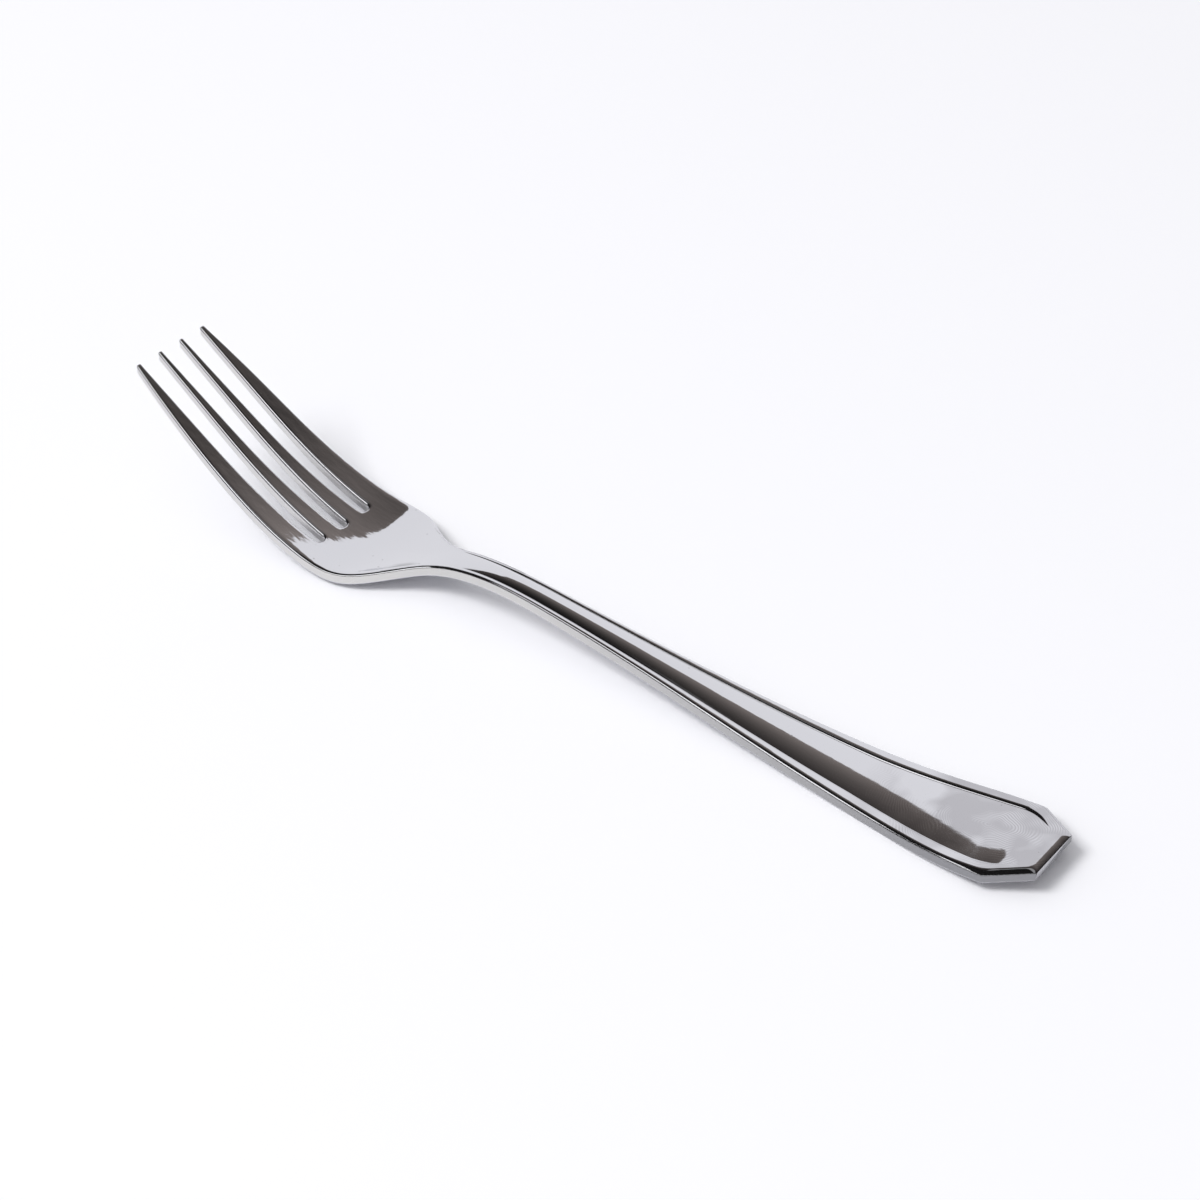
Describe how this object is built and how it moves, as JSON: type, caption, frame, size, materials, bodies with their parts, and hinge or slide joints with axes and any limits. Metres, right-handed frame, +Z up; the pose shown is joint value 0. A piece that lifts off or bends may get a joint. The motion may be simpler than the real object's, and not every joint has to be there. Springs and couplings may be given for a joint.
{
  "type": "dinner fork",
  "caption": "Polished steel dinner fork: faceted handle end with a raised border and crowned centre panel, slim arched neck, shallow dished bowl and tapering tines",
  "frame": {"origin": "Middle of the bounding box's bottom face: mid length and mid width, on the table that the fork rests on with its tines pointing up", "axes": "+X runs along the fork from the handle's end to the tine tips, +Y runs across the width, +Z points up"},
  "size_m": [0.2, 0.0266, 0.0275],
  "materials": {
    "polished_steel": "mirror-polished stainless steel with faint fine grain and hairline scratches"
  },
  "bodies": {
    "root": {"handle": "polished_steel", "neck": "polished_steel", "palm": "polished_steel", "tine_1": "polished_steel", "tine_2": "polished_steel", "tine_3": "polished_steel", "tine_4": "polished_steel"}
  },
  "joints": []
}
